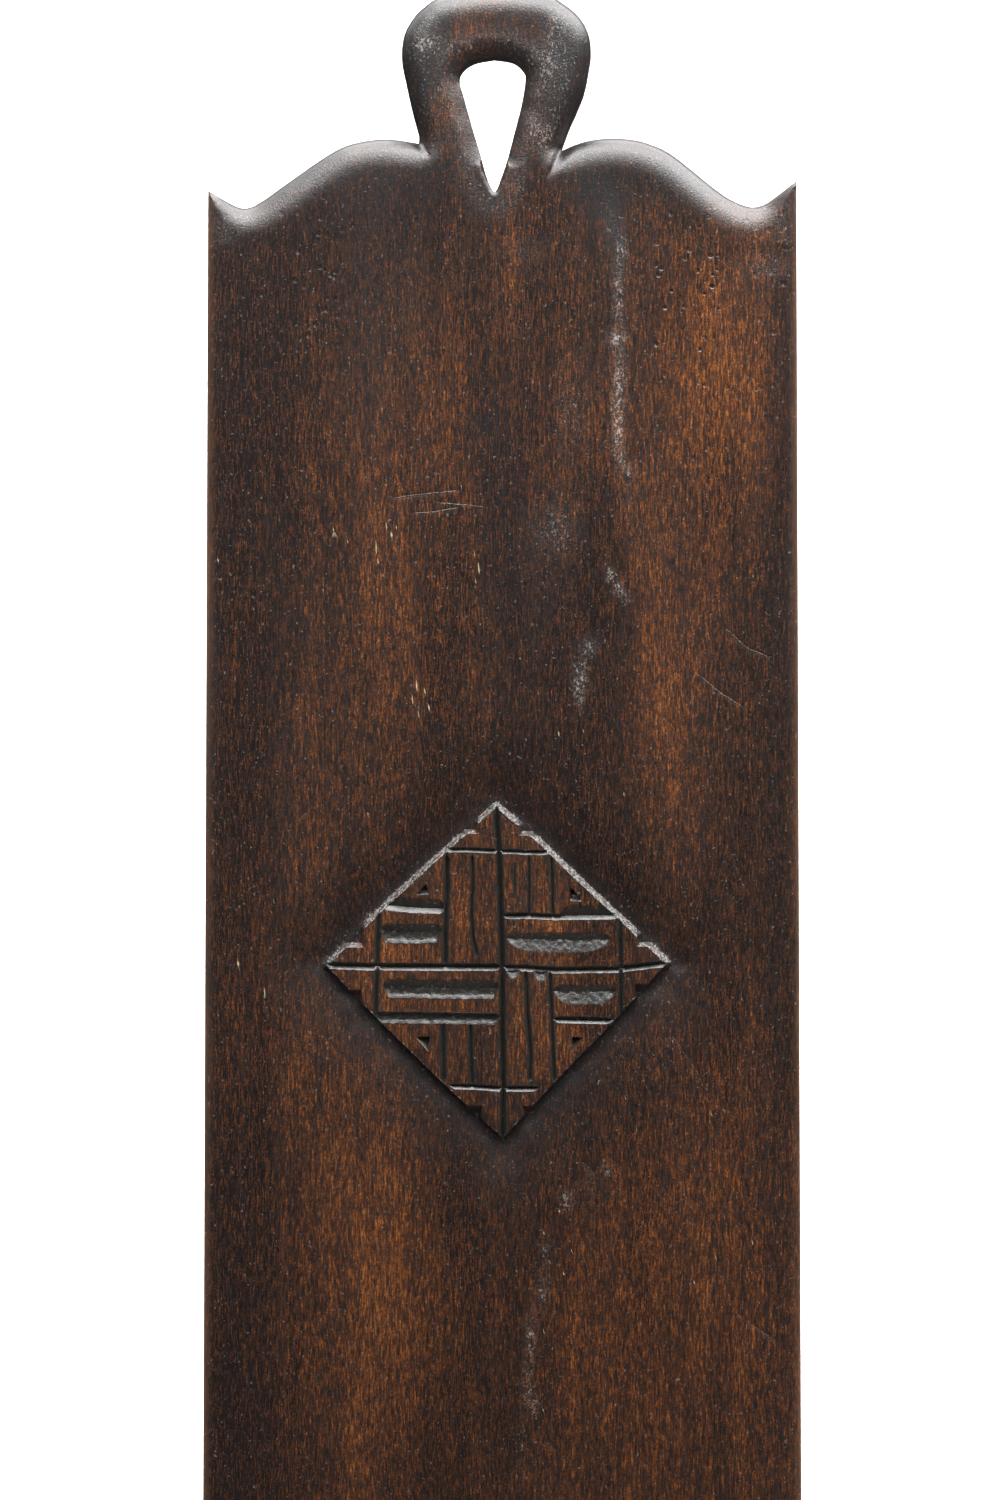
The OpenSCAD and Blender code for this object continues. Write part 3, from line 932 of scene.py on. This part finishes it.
# Soft patches on the board's front, as (x, z, half width, half height, strength) from its foot's middle.
WORN = [
    (-58, 610, 26, 90, 0.2), (-66, 420, 24, 110, 0.35), (-20, 690, 18, 110, 0.25), (-21, 755, 5, 50, 0.5),
    (-62, 650, 7, 60, 0.15), (-52, 275, 26, 90, 0.6), (112, 735, 30, 70, 1.0), (80, 570, 20, 50, 0.45),
    (40, 700, 30, 90, 0.3), (6, 820, 12, 40, 0.4), (-30, 876, 7, 16, 0.7), (-2, 926, 12, 5, 0.4),
    (20, 868, 5, 22, 0.4), (60, 290, 30, 90, 0.5), (120, 300, 30, 90, 0.5), (-125, 435, 30, 60, 0.4),
    (-15, 905, 10, 20, 0.3), (-40, 740, 20, 50, 0.2), (-90, 700, 16, 60, 0.2), (28, 476, 12, 9, 0.7),
    (30, 418, 14, 16, 0.6), (-50, 460, 14, 6, 0.5), (-16, 480, 8, 20, 0.4), (12, 420, 10, 30, 0.3),
    (-20, 440, 20, 8, 0.4), (40, 452, 14, 6, 0.5), (5, 320, 30, 90, 0.25), (-110, 300, 24, 90, 0.2),
]
DARKER = [
    (-90, 830, 60, 28, 0.9), (85, 845, 45, 18, 0.9), (44, 800, 10, 50, 0.7), (136, 620, 12, 110, 0.8),
    (139, 730, 8, 80, 1.2), (-130, 720, 24, 90, 0.6), (-110, 590, 32, 130, 0.35), (10, 640, 26, 70, 0.6),
    (50, 620, 20, 60, 0.6), (0, 350, 22, 100, 0.2), (-130, 290, 26, 150, 0.6), (38, 895, 16, 40, 1.1),
    (-42, 900, 12, 30, 0.9), (0, 560, 60, 14, 0.5), (-142, 470, 8, 60, 0.5), (138, 430, 10, 130, 0.6),
    (130, 290, 18, 60, 0.3), (-20, 760, 14, 50, 0.3), (-70, 780, 40, 40, 0.5),
]
# Charcoal patches of charred wood; the one at (-10, 719) is a painted sheen.
CHARRED_AND_SHEEN = [
    (38, 890, 16, 40, 1.1), (-46, 895, 15, 36, 1.1), (-30, 924, 26, 9, 0.8), (26, 924, 22, 9, 0.8),
    (-4, 900, 26, 9, 1.0), (-145, 600, 6, 70, 0.8), (-145, 430, 4, 60, 0.5), (145, 640, 5, 110, 0.6),
    (50, 828, 9, 9, 1.3), (56, 812, 4, 11, 1.1), (41, 838, 8, 6, 0.8), (-5, 829, 5, 6, 0.8),
    (88, 846, 40, 14, 0.6), (-72, 842, 46, 14, 0.6), (-136, 812, 14, 10, 0.4), (-70, 745, 26, 34, 0.25),
    (18, 650, 16, 40, 0.4), (-2, 700, 12, 60, 0.25), (-10, 719, 9, 11, 0.45), (-100, 640, 18, 40, 0.2),
]
SCUFFS = [
    (59.5, 806, 1.6, 8, 0.8), (57, 792, 2.2, 10, 0.8), (57.5, 776, 2, 9, 0.7), (56, 762, 4.5, 5, 0.8),
    (58, 746, 3, 10, 0.8), (57, 729, 2.6, 10, 0.8), (57, 714, 3, 8, 0.8), (58.5, 703, 2.5, 5, 0.7),
    (62, 697, 3, 3, 0.7), (62.5, 685, 2, 7, 0.35), (27, 668, 12, 14, 0.4), (34, 722, 9, 24, 0.22),
    (131, 796, 12, 7, 0.35), (12, 805, 14, 8, 0.2), (53.5, 646.5, 2, 4, 0.9), (58, 639, 2.6, 4, 0.8),
    (61, 633, 2, 3, 0.6), (43, 611, 4, 5, 0.7), (39, 598, 4.5, 10, 0.6), (38, 586, 3, 9, 0.5),
    (32, 339, 3.5, 5, 0.8), (52, 355, 2, 4, 0.7), (45, 348, 8, 8, 0.25), (22, 315, 2.5, 9, 0.5),
    (19.5, 294, 3.2, 10, 0.65), (14, 272, 3, 12, 0.7), (13, 248, 3, 14, 0.6), (17, 238, 3, 4, 0.7),
    (10.5, 215, 1, 16, 0.6), (-35, 908, 9, 6, 0.5), (25, 903, 6, 16, 0.5), (20, 864, 6, 6, 0.4),
    (54, 818, 5, 12, 0.3),
]
PITTED = [
    (100, 765, 40, 60, 1.3), (-100, 800, 40, 50, 0.5), (0, 640, 60, 90, 0.3), (-120, 640, 20, 60, 0.4),
]
# From here outward, an edge is one of the board's sides.
SIDE_EDGE = 140


def cut_mask(points, cuts):
    """1 in the cuts, up to their edges, and 0 outside them."""
    return np.max([smooth(c.carve(points, 0.25) / c.depth.max(), 0, 0.12) for c in cuts], axis=0)


def near_marks(points, marks):
    """1 on the line of a scratch or chip, falling to 0 at its edges."""
    depth = np.max([c.carve(points) / c.depth.max() for c in marks], axis=0)
    return np.clip(depth * 1.6, 0, 1)


def paint_board(piece, points, rim, side):
    """Paints the carving, the patches and the worn edges on the board, with painted shade round the panel and
    painted highlights and glints on its walls, cuts and shoulders.
    """
    front = side == 0
    gap = panel_gap(points)
    in_notch = notch_depth(points) > 0.1
    # Painted shade: the dished ground round the raised panel is painted darker and less worn, fading out over a
    # few centimetres.
    ground_painted_shade = np.exp(-np.maximum(gap - 3, 0) / 26) * (gap > 0.5) * front

    # Painted highlight: the panel's upper wall and the notches' ledges, which face up towards the light, are
    # painted pale.
    upper_wall = (gap > -0.1) & (gap < UPPER_WALL + 0.1) & (points[:, 1] > LOZENGE_MIDDLE[1] + 3)
    upper_wall &= ~in_notch
    upper_wall |= notch_ledge(points) & (gap < 0)
    # Painted shade: the trench round the panel and the notches' floors are painted charcoal.
    trench = np.exp(-((np.maximum(gap - 1, 0) / 7) ** 2)) * (gap > -0.2)
    trench = np.maximum(trench, in_notch * (gap < 1)) * front
    channels = cut_mask(points, [c for c in CUTS if c.rough])
    pits = smooth(pit_depth(points), 0.0, 0.3)

    rounded = np.exp(-rim / 6) * (points[:, 1] > VALLEY_HEIGHT - 12)
    # Painted glints: pale specks along the shoulders' rounding, which also roughen the bump and the gloss there.
    shoulder_glints = np.exp(-(((rim - 8) / 6) ** 2)) * (points[:, 1] > VALLEY_HEIGHT - 20)
    bare_side = (np.abs(points[:, 0]) > SIDE_EDGE) * (points[:, 1] < VALLEY_HEIGHT + 6)

    worn = np.where(front, patches(points, WORN) + 0.12 * (gap < 0), 0.35)
    # dust holds scuffs and scratches, and painted glints and highlights on the shoulders, the channels' floors,
    # the trench and the panel's upper wall.
    dust = 0.8 * patches(points, SCUFFS) + 0.5 * near_marks(points, SCRATCHES) + 0.25 * shoulder_glints
    dust += 0.22 * channels + 0.12 * trench + 0.5 * upper_wall
    paint(piece,
          worn=worn * (1 - ground_painted_shade),
          dark=patches(points, DARKER) * front + ground_painted_shade,
          groove=np.maximum(cut_mask(points, CUTS), pits) * front,
          char=patches(points, CHARRED_AND_SHEEN) * front + 0.8 * rounded + 0.85 * trench,
          arris=np.exp(-rim / 1.1) * bare_side,
          dust=dust * front,
          bare=near_marks(points, CHIPS) * front,
          pitted=patches(points, PITTED) * front)


def paint_seat(piece, points, rim, side):
    sat_on = [(0, dish_middle[1], 70, 80, 0.6), (0, seat_front + 20, 110, 18, 0.4)]
    none = np.zeros(len(points))
    paint(piece,
          worn=np.where(side == 0, patches(points, sat_on), 0.25),
          # Painted shade: a soft darker band on the seat along the front of the board's foot, where the two planks
          # meet.
          dark=patches(points, [(0, shoulder_line, 150, 20, 0.5)]),
          arris=np.exp(-rim / 1.4) * 0.7,
          groove=none, char=none, dust=none, bare=none, pitted=none)


for piece, node, slot, turn in [(make_board(), "headrest_board", "board_wood", lean),
                                (make_seat(), "seat_plank", "seat_wood", lean + math.pi / 2)]:
    piece.data.materials.append(wood("dark_" + slot, turn))
    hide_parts(node)
    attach(piece, node)

# ---------------- the studio

pale = bpy.data.materials.new("pale_floor")
pale_shade = Shade(pale, "Principled BSDF")
pale_shade.set("Base Color", (0.5, 0.5, 0.5, 1))
pale_shade.set("Roughness", 0.9)
floor_mesh = bpy.data.meshes.new("floor")
floor_mesh.from_pydata([(-30, -30, 0), (30, -30, 0), (30, 30, 0), (-30, 30, 0)], [], [(0, 1, 2, 3)])
floor = bpy.data.objects.new("floor", floor_mesh)
floor.data.materials.append(pale)
floor.visible_glossy = False
bpy.context.scene.collection.objects.link(floor)


def softbox(name, place, aim, size, power):
    """A rectangular light. place and aim share their x, so that its first side stays level."""
    light = bpy.data.lights.new(name, "AREA")
    light.shape = "RECTANGLE"
    light.size, light.size_y = size
    light.energy = power
    lamp = bpy.data.objects.new(name, light)
    lamp.location = place
    lamp.rotation_mode = "QUATERNION"
    lamp.rotation_quaternion = (Vector(aim) - Vector(place)).to_track_quat("-Z", "Y")
    lamp.visible_camera = False
    bpy.context.scene.collection.objects.link(lamp)
    return lamp


softbox("overhead", (0.8, 0.12, 2.35), (0.8, 0.12, 0.6), (3.6, 1.3), 200)
softbox("fore", (0, -0.9, 2.2), (0, 0, 0.6), (2.6, 0.6), 14)
softbox("rim", (1.2, 1.85, 2.48), (1.2, 1.4, 0), (5.0, 1.2), 170)
softbox("behind", (0, 2.6, 2.2), (0, 1.4, 0), (6.5, 2.4), 400).visible_glossy = False
softbox("left corner", (-2.2, 1.9, 2.1), (0, 0.2, 0.6), (1.8, 1.8), 15)
softbox("right corner", (2.2, 1.9, 2.1), (0, 0.2, 0.6), (1.8, 1.8), 30)

# The light is soft and comes mostly from above and behind, so the front stays dark and the rims shine. The
# sky darkens below HORIZON, the height of a direction, which leaves the rims a dark outline.
SKY_FRONT = 0.06
SKY_BACK = 1.7
SKY_BELOW = 0.05
HORIZON = 0.6
BRIGHTEST = Vector((0, 0.75, 0.66))
world = bpy.data.worlds.new("studio")
bpy.context.scene.world = world
sky = Shade(world, "Background")
way = sky.add("TexCoord", {}).outputs["Generated"]
toward = sky.add("VectorMath", {0: way, 1: BRIGHTEST}, operation="DOT_PRODUCT").outputs["Value"]
height = sky.add("SeparateXYZ", {"Vector": way}).outputs["Z"]
glow = sky.ramp(toward, -0.1, 0.95, SKY_FRONT, SKY_BACK)
sky.set("Strength", sky.times(glow, sky.ramp(height, 0, HORIZON, SKY_BELOW, 1, "LINEAR")))
sky.set("Color", (1, 1, 1, 1))
bpy.context.scene.view_settings.view_transform = "Standard"

# The camera looks straight at the board's face, turned a little to its right.
CAMERA_DISTANCE = 3.0
FRAME_HEIGHT = 0.7373
SENSOR = 36
AIM = (-0.8, -board_thick / 2, 560.5)
YAW = math.radians(2)
camera_data = bpy.data.cameras.new("camera")
camera_data.sensor_width = SENSOR
camera_data.lens = SENSOR * CAMERA_DISTANCE / FRAME_HEIGHT
camera_data.clip_end = 100
camera = bpy.data.objects.new("camera", camera_data)
upright = Matrix.Rotation(math.pi / 2, 4, "X")
turned = Matrix.Rotation(-lean, 4, "X") @ Matrix.Rotation(YAW, 4, "Z") @ upright
camera.matrix_world = (Matrix.Translation(to_world @ Vector(AIM)) @ turned
                       @ Matrix.Translation((0, 0, CAMERA_DISTANCE)))
bpy.context.scene.collection.objects.link(camera)
bpy.context.scene.camera = camera
